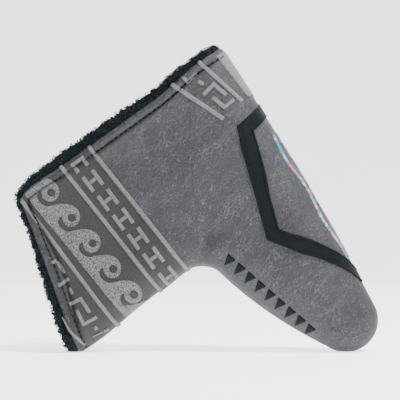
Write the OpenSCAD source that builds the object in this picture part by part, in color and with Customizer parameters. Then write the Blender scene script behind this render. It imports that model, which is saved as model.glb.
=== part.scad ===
// Blade putter head cover: a padded leatherette boot with a fleece lining.
// It is drawn in a sole frame and then stood on its toe and its neck end.
//   s  runs along the sole edge, from the heel mouth to the toe
//   d  runs away from the sole edge, towards the end of the neck
//   y  runs through the thickness: the front face is at -y, the back face at +y

/* [Outline] */
// Distance along the sole from the heel corner to the centre of the toe arc
toe_s = 150.5; // [146:0.5:156]
// Radius of the toe arc
toe_r = 17; // [16:0.5:18]
// Outward bow of the sole edge
sole_bow = 2; // [0:0.5:4]
// Outward bow of the head's lower edge
lower_bow = 3; // [0:0.5:4]
// Distance from the heel corner to the neck's inner edge
neck_w = 86; // [80:0.2:90]
// Distance from the heel corner to the neck's end, measured at the heel side
neck_len = 126.8; // [120:0.2:135]
// Slant of the neck's end, as rise over run
end_slant = 0.185; // [0.1:0.005:0.2]
// Radius of the inside corner between the neck and the head
corner_r = 10; // [7:0.5:13]
// Radius of the closing corner of each leaf
leaf_corner_r = 6; // [4:0.5:9]

/* [Thickness] */
// Half thickness of the stuffed body
body_half = 22; // [19:0.5:25]
// Half thickness at the toe
toe_half = 18; // [15:0.5:20]
// Half thickness at the closing corner, where the two leaves meet
closed_half = 8; // [8:0.1:9]
// Rounding radius along the sole edge
sole_round = 20; // [16:0.5:22]
// Rounding radius along the seam edge
seam_round = 22; // [18:0.5:24]
// Thickness of the outer leather
leather = 1.4; // [1:0.1:1.6]
// Depth of the lining's inner face below the outer surface
lining_depth = 5.8; // [5.4:0.1:6]
// How far the fleece stands out past the leather at the mouth
collar = 4.5; // [3:0.5:6]

/* [Opening] */
// Length of mouth beside the sole that stays closed
heel_fixed = 32; // [28:1:36]
// Distance from the neck's end corner at which a leaf starts
seam_fixed = 14; // [12:1:18]
// Clearance between a leaf and the pocket along the fold
fold_gap = 0.8; // [0.6:0.1:1.2]
// Side of the square closure patches
patch_size = 20; // [16:1:22]

/* [Embroidery] */
// Height of the stitching above the leather
stitch_h = 0.7; // [0.5:0.1:1]
// Width of the long satin lines
line_w = 2.6; // [2:0.1:3]
// Width of the bars in the row of H shapes
bar_w = 2.6; // [2:0.1:3]
// Spacing of the H shapes
h_pitch = 12.6; // [12:0.1:13]
// Spacing of the wave scrolls
wave_pitch = 17; // [16.6:0.1:17.4]
// Width of the six-sided border
border_w = 6.8; // [5:0.1:8]

/* [Hidden] */

FRONT = -1;
BACK = 1;
LEATHER_COLOUR = "#6b6b70";
THREAD_COLOUR = "#a2a19d";
DARK_THREAD = "#20272c";
FLEECE_COLOUR = "#141c1f";
GAP = 0.2; // space between two layers
STITCH_GAP = 0.5; // space between the leather and the stitching on it

// ---- outline of the boot ----

HEEL_S = -3.8;
HEEL_SLANT = 0.074;
LOWER_SLOPE = 0.4567;
LOWER_COS = 1 / norm([1, LOWER_SLOPE]);
TANGENT = toe_r * LOWER_SLOPE * LOWER_COS;
TOE_D = toe_r;
KNEE_S = 100; // from here to the toe each rib stands square to the sole
NECK_SLANT = 0.116;
NECK_COS = 1 / norm([1, NECK_SLANT]);
NECK_REF = 75;

function circle_rise(x, r) = sqrt(max(0, r * r - x * x));
function ease(x) = let (c = max(0, min(1, x))) c * c * (3 - 2 * c);

// Sole edge of the layer that lies t under the outer surface
function sole_d(s, t) =
    let (q = (s - toe_s / 2 + 2) / (toe_s / 2 + 2))
    s < toe_s ? t - sole_bow * max(0, 1 - q * q)
              : TOE_D - circle_rise(s - toe_s, toe_r - t);

// Lower edge of the head
LOWER_FOOT = TOE_D + toe_r * LOWER_COS;
LOWER_LEFT = 94.5;
function lower_line(s) =
    let (far = toe_s + TANGENT, q = max(0, (s - LOWER_LEFT) / (far - LOWER_LEFT)))
    LOWER_FOOT + LOWER_SLOPE * (far - s) + lower_bow * 4 * q * (1 - q);
function lower_d(s, t) =
    s < toe_s + (toe_r - t) * LOWER_SLOPE * LOWER_COS
        ? lower_line(s) - t / LOWER_COS
        : TOE_D + circle_rise(s - toe_s, toe_r - t);

// Inner edge of the neck, heel edge and neck end
function neck_s(d, t) = neck_w + NECK_SLANT * (d - NECK_REF) - t / NECK_COS;
function heel_s(d, c) = HEEL_S + HEEL_SLANT * d - c;
function end_d(s, c) = neck_len + end_slant * s + c;

// Depth of a point inside the seam edge
function seam_depth(s, d) =
    let (a = (neck_s(d, 0) - s) * NECK_COS, b = (lower_line(s) - d) * LOWER_COS)
    norm([max(corner_r + a, 0), max(corner_r + b, 0)])
        - max(corner_r, min(-a, -b));

// Half thickness at any point of the outline, for the layer t under the surface
function round_off(x, r, p) =
    let (q = max(0, min(1, 1 - x / r))) pow(1 - pow(q, p), 1 / p);
function body_half_at(s, d) =
    let (open = norm([s - 4, d - neck_len]))
    closed_half + (body_half - closed_half) * ease((open - 25) / 70)
        - (body_half - toe_half) * ease((s - 90) / 70);
function half(s, d, t) =
    let (
        wide = s < KNEE_S ? 100 : lower_d(s, t) - sole_d(s, t),
        r1 = min(sole_round - t, 0.55 * wide),
        r2 = min(seam_round - t, 0.55 * wide),
        toe = circle_rise(max(0, s - toe_s), toe_r - t) / (toe_r - t),
        seam = s > toe_s ? lower_d(s, t) - d : seam_depth(s, d) - t)
    (body_half_at(s, d) - t) * toe
        * round_off(d - sole_d(s, t), r1, 2.4) * round_off(seam, r2, 2);

// ---- standing pose: turned until the toe and the neck end touch the ground ----

PRESS = 0.6; // how much the toe and the neck end are flattened by the ground
END_S = neck_s(end_d(neck_w + 6, 0), 0) - 1.5;
END_D = end_d(END_S, collar) - 0.6;
run = toe_s - END_S;
fall = toe_r - END_D;
turn = asin(-toe_r / norm([run, fall])) - atan2(fall, run);
lift = toe_s * sin(turn) + toe_r * cos(turn) + toe_r - PRESS;
right_x = toe_s * cos(turn) - toe_r * sin(turn) + toe_r;
left_x = min([for (a = [0:9:90]) let (p = closing_corner(a, collar))
    p[0] * cos(turn) - p[1] * sin(turn)]);
shift = -(left_x + right_x) / 2;

function stand(s, d, y) = [
    shift + s * cos(turn) - d * sin(turn),
    y,
    max(0, lift - s * sin(turn) - d * cos(turn))];

// Corner where the heel edge meets the neck end, rounded
function closing_corner(a, c) =
    let (
        r = leaf_corner_r + c,
        s0 = heel_s(neck_len, c), d0 = end_d(s0, c),
        centre = [s0 + r * 1.06, d0 - r * 0.9])
    [centre[0] - r * cos(a), centre[1] + r * sin(a) + r * 0.07 * (1 - sin(a))];

// ---- fold line that a leaf turns on ----

FOLD_A = [heel_s(heel_fixed, 0), heel_fixed];
FOLD_S = neck_s(end_d(neck_w, 0), 0) - seam_fixed;
FOLD_B = [FOLD_S, end_d(FOLD_S, 0)];
fold_dir = (FOLD_B - FOLD_A) / norm(FOLD_B - FOLD_A);
fold_out = [-fold_dir[1], fold_dir[0]];
// Where the fold line leaves a mouth that stands c past the leather
function fold_heel(c) = FOLD_A - fold_dir * c / fold_dir[0] * 0.93;
function fold_end(c) = FOLD_B + fold_dir * c / (fold_dir[1] - end_slant * fold_dir[0]);

// ---- ribs of the pocket, from the seam edge to the sole edge ----

RIBS = 22;
FAN = 14;
COLS = 18;
FIXED = 4;
NECK_RIBS = 10;
function col(j) = (1 - cos(180 * j / COLS)) / 2;
function seam_pt(i, t, c) =
    i <= NECK_RIBS ? let (
            top = end_d(neck_s(end_d(neck_w, c), t), c),
            foot = fillet(0, t)[1],
            d = top + (foot - top) * i / NECK_RIBS) [neck_s(d, t), d]
    : i < FAN ? fillet(90 * (i - NECK_RIBS) / (FAN - 1 - NECK_RIBS), t)
    : [KNEE_S, lower_d(KNEE_S, t)];
function fillet(a, t) =
    let (
        e1 = ((corner_r + t) * cos(a) - corner_r) / NECK_COS,
        e2 = ((corner_r + t) * sin(a) - corner_r) / LOWER_COS,
        far = toe_s + TANGENT,
        d = (LOWER_FOOT + LOWER_SLOPE * (far - neck_w + NECK_SLANT * NECK_REF + e1) - e2)
            / (1 + LOWER_SLOPE * NECK_SLANT))
    [neck_w + NECK_SLANT * (d - NECK_REF) - e1, d];
function sole_pt(i, t, c) =
    let (s0 = heel_s(0, c), s = s0 + (KNEE_S - s0) * i / FAN) [s, sole_d(s, t)];
function mouth_pt(j, t, c) =
    let (
        e = seam_pt(0, t, c), a = sole_pt(0, t, c), q = COLS - FIXED,
        eb = fold_end(c), ha = fold_heel(c))
    j <= FIXED ? e + (eb - e) * col(j) / col(FIXED)
    : j >= q ? a + (ha - a) * col(COLS - j) / col(FIXED)
    : eb + (ha - eb) * (j - FIXED) / (q - FIXED);
function rib_pt(i, j, t, c) =
    i > FAN ? let (
            tip = toe_s + toe_r - t,
            s = KNEE_S + (tip - KNEE_S) * sin(90 * (i - FAN) / (RIBS - FAN)),
            lo = sole_d(s, t), hi = lower_d(s, t))
        [s, hi + (lo - hi) * col(j)]
    : let (
            a = seam_pt(i, t, c), b = sole_pt(i, t, c),
            a0 = seam_pt(0, t, c), b0 = sole_pt(0, t, c),
            fade = pow(1 - i / FAN, 2),
            bulge = mouth_pt(j, t, c) - a0 - (b0 - a0) * col(j))
        a + (b - a) * col(j) + bulge * fade;
function skin_pt(i, j, t, c, side) =
    let (
        p = rib_pt(i, j, t, c),
        y = j == 0 || j == COLS ? 0 : max(0.4, half(p[0], p[1], t)))
    stand(p[0], p[1], side * y);

// ---- closed solids from grids of points ----

// Solid between an outer and an inner grid of (n + 1) x (m + 1) points
function plate_faces(n, m, flip) =
    let (
        w = m + 1, k = (n + 1) * w,
        top = [for (i = [0:n - 1], j = [0:m - 1]) let (a = i * w + j)
            each [[a, a + 1, a + w + 1], [a, a + w + 1, a + w]]],
        low = [for (f = top) [f[0] + k, f[2] + k, f[1] + k]],
        rim = concat(
            [for (j = [0:m]) j], [for (i = [1:n]) i * w + m],
            [for (j = [m - 1:-1:0]) n * w + j], [for (i = [n - 1:-1:1]) i * w]),
        wall = [for (q = [0:len(rim) - 1]) let (a = rim[q], b = rim[(q + 1) % len(rim)])
            each [[a, a + k, b + k], [a, b + k, b]]],
        all = concat(top, low, wall))
    flip ? [for (f = all) [f[2], f[1], f[0]]] : all;
module plate(outer, inner, n, m, flip) {
    polyhedron(points = concat(outer, inner), faces = plate_faces(n, m, flip));
}

// Bag with a wall from depth t0 to depth t1, closed at the toe and open at the mouth
AROUND = 2 * COLS;
function ring(i, t, c) = concat(
    [for (j = [0:COLS]) skin_pt(i, j, t, c, FRONT)],
    [for (j = [COLS - 1:-1:1]) skin_pt(i, j, t, c, BACK)]);
function toe_tip(t) = stand(toe_s + toe_r - t, TOE_D, 0);
module bag(t0, t1, c0, c1) {
    pts = concat(
        [for (i = [0:RIBS - 1]) each ring(i, t0, c0)], [toe_tip(t0)],
        [for (i = [0:RIBS - 1]) each ring(i, t1, c1)], [toe_tip(t1)]);
    k = RIBS * AROUND + 1;
    tip = k - 1;
    last = (RIBS - 1) * AROUND;
    outer = [for (i = [0:RIBS - 2], j = [0:AROUND - 1])
        let (a = i * AROUND + j, b = i * AROUND + (j + 1) % AROUND)
        each [[a, b, b + AROUND], [a, b + AROUND, a + AROUND]]];
    cap = [for (j = [0:AROUND - 1]) [last + j, last + (j + 1) % AROUND, tip]];
    skin = concat(outer, cap);
    inner = [for (f = skin) [f[0] + k, f[2] + k, f[1] + k]];
    rim = [for (j = [0:AROUND - 1]) let (b = (j + 1) % AROUND)
        each [[j, j + k, b + k], [j, b + k, b]]];
    polyhedron(points = pts, faces = concat(skin, inner, rim));
}

// Leaf: the corner of the neck that folds open
LEAF_COLS = 20;
LEAF_ROWS = 12;
ARC_FROM = 8;
ARC_TO = 13;
TIP_TRIM = 2.5;
function leaf_edge(a, c) =
    let (
        arc = 90 * (a - ARC_FROM) / (ARC_TO - ARC_FROM),
        h0 = fold_heel(c) + TIP_TRIM * [HEEL_SLANT, 1],
        e0 = fold_end(c) - TIP_TRIM * [1, end_slant],
        p0 = closing_corner(0, c), p1 = closing_corner(90, c))
    a < ARC_FROM ? h0 + (p0 - h0) * a / ARC_FROM
    : a > ARC_TO ? p1 + (e0 - p1) * (a - ARC_TO) / (LEAF_COLS - ARC_TO)
    : closing_corner(arc, c);
function leaf_fold(a, c) =
    let (
        h0 = fold_heel(c) + fold_dir * TIP_TRIM * 0.8,
        e0 = fold_end(c) - fold_dir * TIP_TRIM * 0.8)
    h0 + (e0 - h0) * a / LEAF_COLS + fold_out * fold_gap;
function leaf_pt(a, b, t, c, side) =
    let (
        p0 = leaf_fold(a, c), p1 = leaf_edge(a, c),
        p = p0 + (p1 - p0) * b / LEAF_ROWS)
    stand(p[0], p[1], side * half(p[0], p[1], t));
function leaf_grid(t, c, side) =
    [for (a = [0:LEAF_COLS], b = [0:LEAF_ROWS]) leaf_pt(a, b, t, c, side)];
module leaf(t0, t1, c, side) {
    plate(leaf_grid(t0, c, side), leaf_grid(t1, c, side), LEAF_COLS, LEAF_ROWS,
        side == BACK);
}

// ---- stitching: ribbons that lie just above the leather ----

function dot(a, b) = a[0] * b[0] + a[1] * b[1];
function unit(a) = a / norm(a);
function left_of(a) = [-a[1], a[0]];

// Point on a face, and point at arc distance w from the middle of the sole
function face_pt(p, t, side) = stand(p[0], p[1], side * half(p[0], p[1], t));
SOLE_ARC = 31;
function wrap_pt(p, t) =
    let (
        w = abs(p[1]), r = sole_round - t,
        turned = 1 - pow(cos(90 * min(1, w / SOLE_ARC)), 2 / 2.4),
        d = sole_d(p[0], t) + r * turned + max(0, w - SOLE_ARC),
        y = w < 0.01 ? 0 : half(p[0], d, t))
    stand(p[0], d, (p[1] < 0 ? FRONT : BACK) * y);

// Path with extra points so that no step is longer than the one asked for
function fine(path, step) = [
    for (k = [0:len(path) - 2])
        let (n = ceil(norm(path[k + 1] - path[k]) / step))
        for (q = [0:n - 1]) path[k] + (path[k + 1] - path[k]) * q / n,
    path[len(path) - 1]];
function mitre(path, k) =
    let (
        n = len(path) - 1,
        a = left_of(unit(path[max(1, k)] - path[max(1, k) - 1])),
        b = left_of(unit(path[min(n, k + 1)] - path[min(n, k + 1) - 1])))
    (a + b) / (1 + dot(a, b));
function width_at(w, k) = is_list(w) ? w[k] : w;
function strip(path, w, rows) = [
    for (k = [0:len(path) - 1], e = [0:rows])
        path[k] + mitre(path, k) * width_at(w, k) * (e / rows - 0.5)];

module ribbon(path, w, side) {
    edge = strip(path, w, 1);
    outer = [for (p = edge) face_pt(p, -STITCH_GAP - stitch_h, side)];
    inner = [for (p = edge) face_pt(p, -STITCH_GAP, side)];
    plate(outer, inner, len(path) - 1, 1, side == BACK);
}
module wrapped_ribbon(path, w, rows) {
    edge = strip(path, w, rows);
    outer = [for (p = edge) wrap_pt(p, -STITCH_GAP - stitch_h)];
    inner = [for (p = edge) wrap_pt(p, -STITCH_GAP)];
    plate(outer, inner, len(path) - 1, rows, true);
}

// Part of a straight bar that lies on the leaf, or on the pocket
function fold_side(p) = dot(p - FOLD_A, fold_out);
function margin(p, q, w, leaf) =
    (leaf ? fold_gap : 0) + 0.3 + w / 2 * abs(dot(unit(q - p), fold_dir));
function kept(p, q, w, leaf) =
    let (
        m = margin(p, q, w, leaf), sgn = leaf ? 1 : -1,
        a = sgn * fold_side(p) - m, b = sgn * fold_side(q) - m,
        x = p + (q - p) * a / (a - b))
    a >= 0 && b >= 0 ? [p, q] : a < 0 && b < 0 ? [] : a >= 0 ? [p, x] : [x, q];
module bar(p, q, w, side, leaf) {
    part = kept(p, q, w, leaf);
    if (len(part) == 2 && norm(part[1] - part[0]) > 1) {
        ribbon(fine(part, 6), w, side);
    }
}
// Part of a curved path that lies on the leaf, or on the pocket
function run(path, w, leaf) =
    [for (p = path) if ((leaf ? fold_side(p) - fold_gap : -fold_side(p)) > 0.3 + w / 2) p];

// ---- the bands across the neck ----

HEM = 1.2; // distance of the stitching from the leather's edge
function across(s, d0, slope) = [s, d0 + slope * s];
function heel_end(d0, slope) = across(heel_s(d0, 0) + HEM, d0, slope);
function seam_end(d0, slope, inset) = across(neck_s(d0 - 12, 0) - inset, d0, slope);

module neck_line_set(side, leaf) {
    bar(heel_end(86.4, -0.138), seam_end(86.4, -0.138, 10), line_w, side, leaf);
    bar(heel_end(104.5, -0.14), seam_end(104.5, -0.14, 5), line_w, side, leaf);
    bar(across(24, 131.5, -0.12), seam_end(131.5, -0.12, 5), line_w, side, leaf);
}

H_DIR = unit([1, -0.1]);
module h_shape(s, side, leaf) {
    c = across(s, 95.9, -0.137);
    for (e = [-1, 1]) {
        bar(c + H_DIR * -4.9 + left_of(H_DIR) * 3.1 * e,
            c + H_DIR * 4.9 + left_of(H_DIR) * 3.1 * e, bar_w, side, leaf);
    }
    bar(c - left_of(H_DIR) * 1.65, c + left_of(H_DIR) * 1.65, bar_w, side, leaf);
}
module h_row(side, leaf) {
    for (k = [-2:3]) {
        h_shape(33.3 + h_pitch * k, side, leaf);
    }
}

WAVE_DIR = unit([1, -0.153]);
WAVE_UP = [WAVE_DIR[1], -WAVE_DIR[0]];
CURL = [[-12, -8.4], [-9.5, -6.4], [-7, -4.2], [-4.7, -1.8], [-3.5, 0.9], [-2, 2.9],
    [0.2, 3.6], [2.4, 2.7], [3.5, 0.6], [3.1, -1.8], [1.3, -3.3], [-0.9, -2.6]];
CURL_W = 2.6;
module wave_row(side, leaf) {
    for (k = [0:4]) {
        eye = [14.9, 114.9] + WAVE_DIR * wave_pitch * k;
        path = run([for (p = CURL) eye + WAVE_DIR * p[0] + WAVE_UP * p[1]], CURL_W, leaf);
        inside = [for (p = path) if (p[0] > heel_s(p[1], 0) + CURL_W / 2 + 0.5) p];
        if (len(inside) > 2) {
            ribbon(inside, CURL_W, side);
        }
    }
    bar(across(18, 129.2, -0.153), seam_end(129.2, -0.153, 5), 2.4, side, leaf);
}

module key_row(side, leaf) {
    for (part = [
            [[69.5, 135], [69.7, 130.2]], [[71, 129], [78.3, 129.2]],
            [[74.1, 133.9], [80.8, 134.5]], [[82.3, 133.4], [82.3, 127.2]],
            [[60, 131.8], [64.5, 132.2]], [[47.5, 130.6], [55.5, 131]]]) {
        bar(part[0], part[1], 2.2, side, leaf);
    }
}

// ---- stitching beside the sole and on the head ----

module heel_lines(side) {
    bar([heel_s(31, 0) + HEM, 31], [28, 18.7], line_w, side, false);
    bar([heel_s(13, 0) + HEM, 13.3], [25, 5.7], line_w, side, false);
}
module heel_keys(side) {
    ribbon(fine([[10.3, 13.8], [12, 20.8], [16.4, 19]], 4), 2.2, side);
    ribbon(fine([[16.6, 12], [22.4, 9.6], [23.1, 15]], 4), 2.2, side);
    ribbon(fine([[4.9, 20], [7.7, 18.6]], 4), 2.2, side);
}

// The six-sided border is drawn as it lies when the leather is flat
BORDER = [[34.5, 0.3], [34.5, 3], [38.1, 25.4], [92.2, 40.1], [116.2, 21.2],
    [133.5, 4.6], [133.5, 0.3]];
module border(side) {
    path = [for (p = BORDER) [p[0], side * p[1]]];
    wrapped_ribbon(fine(side == BACK ? path : [for (k = [len(path) - 1:-1:0]) path[k]], 5),
        border_w, 2);
}
module wave_line(w0, w1, swell) {
    path = [for (s = [50:4:122]) [s, w0 + (w1 - w0) * (s - 50) / 72 + swell * sin(10 * s)]];
    wrapped_ribbon([for (k = [len(path) - 1:-1:0]) path[k]], 3, 1);
}

TRIANGLES = 9;
module triangle_row(side) {
    along = unit([1, -0.42]);
    for (k = [0:TRIANGLES - 1]) {
        s = 97 + 6.4 * k;
        c = [s, lower_line(s) - 8.5];
        foot = c - left_of(along) * 3;
        ribbon([for (q = [0:3]) foot + left_of(along) * 2 * q], [5, 3.5, 2, 0.6], side);
    }
}

// ---- topstitch along the hem ----

INSET = 3.8; // distance of the topstitch from the leather's edge
STITCH_W = 0.9;
function hem_pt(a) =
    let (
        p = leaf_edge(a, 0),
        mid = (fold_heel(0) + fold_end(0)) / 2,
        n = left_of(unit(leaf_edge(min(LEAF_COLS, a + 0.5), 0) - leaf_edge(max(0, a - 0.5), 0))))
    p + n * INSET * (dot(n, mid - p) > 0 ? 1 : -1);
module leaf_topstitch(side) {
    color(DARK_THREAD) ribbon([for (a = [1:0.7:19]) hem_pt(a)], STITCH_W, side);
}
module pocket_topstitch() {
    color(DARK_THREAD) {
        path = [for (w = [36:-4:-36]) [heel_s(0, 0) + 4.6 + 0.02 * abs(w), w]];
        wrapped_ribbon(path, STITCH_W, 1);
        for (side = [FRONT, BACK]) {
            e = fold_end(0);
            from = e + [1, end_slant] - unit([end_slant, -1]) * -INSET;
            ribbon(fine([from, from + [8, 8 * end_slant]], 4), STITCH_W, side);
        }
    }
}

// ---- closure patches inside the mouth ----

module patch(side, t0, t1) {
    size = patch_size;
    from = [heel_s(neck_len, 0) + 7, end_d(heel_s(neck_len, 0), 0) - 6 - size];
    grid = [for (i = [0:3], j = [0:3]) from + [size * i / 3, size * j / 3]];
    plate([for (p = grid) face_pt(p, t0, side)], [for (p = grid) face_pt(p, t1, side)],
        3, 3, side == BACK);
}

// ---- pieces ----

module pocket_leather() {
    color(LEATHER_COLOUR) bag(0, leather, 0, 0);
}
module pocket_padding() {
    color("#c8c8c4") bag(leather + 0.5, 2.4, -6, -6);
}
module pocket_lining() {
    color(FLEECE_COLOUR) bag(3 + GAP, lining_depth, collar, collar);
}
module leaf_leather(side) {
    color(LEATHER_COLOUR) leaf(0, leather, 0, side);
}
module leaf_lining(side) {
    color(FLEECE_COLOUR) leaf(leather + 3 * GAP, lining_depth, collar, side);
}
module leaf_patch(side) {
    color("#0c0e10") patch(side, lining_depth + GAP, lining_depth + GAP + 1.2);
}
module border_half(side) {
    color(DARK_THREAD) border(side);
}
module sole_figure() {
    color("#3d6fa8") wave_line(-9, -5, 1.5);
    color("#59b7c4") wave_line(-1, 1, 1.5);
    color("#c46a96") wave_line(8, 6, 1.5);
}
module triangle_rows(side) {
    color(DARK_THREAD) triangle_row(side);
}
module neck_lines(side, leaf) {
    color(THREAD_COLOUR) neck_line_set(side, leaf);
}
module h_rows(side, leaf) {
    color(THREAD_COLOUR) h_row(side, leaf);
}
module wave_rows(side, leaf) {
    color(THREAD_COLOUR) wave_row(side, leaf);
}
module key_rows(side, leaf) {
    color(THREAD_COLOUR) key_row(side, leaf);
}
module heel_line_set(side) {
    color(THREAD_COLOUR) heel_lines(side);
}
module heel_key_set(side) {
    color(THREAD_COLOUR) heel_keys(side);
}

pocket_leather();
pocket_padding();
pocket_lining();
pocket_topstitch();
leaf_leather(FRONT);  // front_leaf_leather
leaf_lining(FRONT);  // front_leaf_lining
leaf_topstitch(FRONT);  // front_leaf_topstitch
leaf_patch(FRONT);  // front_leaf_loop_patch
leaf_leather(BACK);  // back_leaf_leather
leaf_lining(BACK);  // back_leaf_lining
leaf_topstitch(BACK);  // back_leaf_topstitch
leaf_patch(BACK);  // back_leaf_hook_patch
sole_figure();
border_half(FRONT);  // border_front
border_half(BACK);  // border_back
triangle_rows(FRONT);  // triangle_row_front
triangle_rows(BACK);  // triangle_row_back
neck_lines(FRONT, false);  // neck_lines_front
neck_lines(BACK, false);  // neck_lines_back
h_rows(FRONT, false);  // h_row_front
h_rows(BACK, false);  // h_row_back
wave_rows(FRONT, false);  // wave_scroll_front
wave_rows(BACK, false);  // wave_scroll_back
key_rows(FRONT, false);  // key_row_front
key_rows(BACK, false);  // key_row_back
heel_line_set(FRONT);  // heel_lines_front
heel_line_set(BACK);  // heel_lines_back
heel_key_set(FRONT);  // heel_keys_front
heel_key_set(BACK);  // heel_keys_back
neck_lines(FRONT, true);  // leaf_lines_front
neck_lines(BACK, true);  // leaf_lines_back
h_rows(FRONT, true);  // leaf_h_row_front
h_rows(BACK, true);  // leaf_h_row_back
wave_rows(FRONT, true);  // leaf_wave_scroll_front
wave_rows(BACK, true);  // leaf_wave_scroll_back
key_rows(FRONT, true);  // leaf_key_row_front
key_rows(BACK, true);  // leaf_key_row_back
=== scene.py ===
"""Blade putter head cover: leatherette boot, fleece lining, embroidered bands."""
import math

import bpy
import numpy as np
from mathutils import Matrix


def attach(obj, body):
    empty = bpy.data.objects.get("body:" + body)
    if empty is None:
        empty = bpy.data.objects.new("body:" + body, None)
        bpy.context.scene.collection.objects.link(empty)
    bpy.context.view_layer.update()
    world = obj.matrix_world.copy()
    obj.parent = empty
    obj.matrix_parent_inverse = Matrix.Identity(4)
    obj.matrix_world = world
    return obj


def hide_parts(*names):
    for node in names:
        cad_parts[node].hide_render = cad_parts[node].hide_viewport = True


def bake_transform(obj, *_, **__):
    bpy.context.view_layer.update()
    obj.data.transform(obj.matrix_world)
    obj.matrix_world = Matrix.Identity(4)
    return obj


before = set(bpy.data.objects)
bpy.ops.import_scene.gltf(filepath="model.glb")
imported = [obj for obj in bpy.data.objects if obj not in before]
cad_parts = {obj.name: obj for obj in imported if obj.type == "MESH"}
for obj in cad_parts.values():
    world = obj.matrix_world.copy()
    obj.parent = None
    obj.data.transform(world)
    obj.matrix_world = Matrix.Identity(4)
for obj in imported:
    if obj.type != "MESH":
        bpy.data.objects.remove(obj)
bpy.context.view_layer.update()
rng = np.random.default_rng(7)
MM = 0.001

# ---- camera, lights and floor ----

VIEW_W = 0.2092  # width of the view at the cover's middle plane
VIEW_D = 1.25
SENSOR = 36.0
VIEW_X, VIEW_Z = 0.0012, 0.0790  # point the camera faces
LIT_POINT = (0, 0, 0.08)


def look_at(obj, target):
    d = np.array(target) - np.array(obj.location)
    yaw = math.atan2(d[1], d[0]) - math.pi / 2
    pitch = math.atan2(d[2], math.hypot(d[0], d[1])) + math.pi / 2
    obj.rotation_euler = (pitch, 0, yaw)


def add_camera():
    cam = bpy.data.objects.new("camera", bpy.data.cameras.new("camera"))
    cam.data.sensor_width = SENSOR
    cam.data.lens = SENSOR * VIEW_D / VIEW_W
    cam.data.clip_start = 0.05
    cam.location = (VIEW_X, -VIEW_D, VIEW_Z)
    look_at(cam, (VIEW_X, 0, VIEW_Z))
    bpy.context.scene.collection.objects.link(cam)
    bpy.context.scene.camera = cam


def add_light(name, where, size, power):
    data = bpy.data.lights.new(name, "AREA")
    data.shape = "DISK"
    data.size = size
    data.energy = power
    lamp = bpy.data.objects.new(name, data)
    lamp.location = where
    look_at(lamp, LIT_POINT)
    bpy.context.scene.collection.objects.link(lamp)


add_camera()
add_light("key", (0.5, -0.3, 1.0), 0.25, 25)
add_light("fill", (-0.9, -0.6, 0.5), 0.5, 3)
add_light("top", (0.1, 0.05, 1.1), 0.5, 3)
add_light("back", (0.2, 0.9, 0.5), 0.7, 3)
world = bpy.data.worlds.new("studio")
bpy.context.scene.world = world
world.use_nodes = True
world.node_tree.nodes["Background"].inputs["Color"].default_value = (1, 1, 1, 1)
world.node_tree.nodes["Background"].inputs["Strength"].default_value = 0.2

# ---- outline of the boot in its sole frame, in millimetres ----
# s runs along the sole from the heel mouth to the toe, d from the sole towards the
# neck's end; t is the depth of a layer under the outer surface, c how far it stands
# out past the leather at the mouth.

TOE_S, TOE_R, SOLE_BOW, LOWER_BOW = 150.5, 17.0, 2.0, 3.0
NECK_W, NECK_LEN, END_SLANT = 86.0, 126.8, 0.185
CORNER_R, LEAF_R = 10.0, 6.0
BODY_HALF, TOE_HALF, CLOSED_HALF = 22.0, 18.0, 8.0
SOLE_ROUND, SEAM_ROUND = 20.0, 22.0
COLLAR, HEEL_FIXED, SEAM_FIXED = 4.5, 32.0, 14.0
HEEL_S, HEEL_SLANT, LOWER_SLOPE = -3.8, 0.074, 0.4567
NECK_SLANT, NECK_REF, KNEE_S, LOWER_LEFT = 0.116, 75.0, 100.0, 94.5
LOWER_COS = 1 / math.hypot(1, LOWER_SLOPE)
NECK_COS = 1 / math.hypot(1, NECK_SLANT)
FAR = TOE_S + TOE_R * LOWER_SLOPE * LOWER_COS
LOWER_FOOT = TOE_R + TOE_R * LOWER_COS
SOLE_ARC = 31.0
FRONT, BACK = -1, 1


def ease(x):
    c = np.clip(x, 0, 1)
    return c * c * (3 - 2 * c)


def bell(x, width):
    return np.exp(-((x / width) ** 2))


def rise(x, r):
    return np.sqrt(np.maximum(0, r * r - x * x))


def sole_d(s, t=0.0):
    q = (s - TOE_S / 2 + 2) / (TOE_S / 2 + 2)
    flat = t - SOLE_BOW * np.maximum(0, 1 - q * q)
    return np.where(s < TOE_S, flat, TOE_R - rise(s - TOE_S, TOE_R - t))


def lower_line(s):
    q = np.maximum(0, (s - LOWER_LEFT) / (FAR - LOWER_LEFT))
    return LOWER_FOOT + LOWER_SLOPE * (FAR - s) + LOWER_BOW * 4 * q * (1 - q)


def lower_d(s, t=0.0):
    far = TOE_S + (TOE_R - t) * LOWER_SLOPE * LOWER_COS
    return np.where(s < far, lower_line(s) - t / LOWER_COS,
                    TOE_R + rise(s - TOE_S, TOE_R - t))


def neck_s(d, t=0.0):
    return NECK_W + NECK_SLANT * (d - NECK_REF) - t / NECK_COS + 1.3 * bell(d - 130, 16)


def heel_s(d, c=0.0):
    drawn_in = 2.7 * ease((d - 16) / 28) * (1 - 0.2 * ease((d - 106) / 12))
    return HEEL_S + HEEL_SLANT * d - c + drawn_in


def end_d(s, c=0.0):
    return NECK_LEN + END_SLANT * s + c + 2.6 * bell(s - 15, 13) - 2.4 * bell(s - 54, 22)


def seam_depth(s, d):
    a = (neck_s(d) - s) * NECK_COS
    b = (lower_line(s) - d) * LOWER_COS
    return np.hypot(np.maximum(CORNER_R + a, 0), np.maximum(CORNER_R + b, 0)) \
        - np.maximum(CORNER_R, np.minimum(-a, -b))


def mouth_depth(s, d):
    """Distance inside the leather's edge at the mouth."""
    a, b, r = s - heel_s(d), end_d(s) - d, LEAF_R
    corner = r - np.hypot(r - a, r - b)
    return np.where((a < r) & (b < r), corner, np.minimum(a, b))


def round_off(x, r, p):
    q = np.clip(1 - x / r, 0, 1)
    return (1 - q ** p) ** (1 / p)


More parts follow.
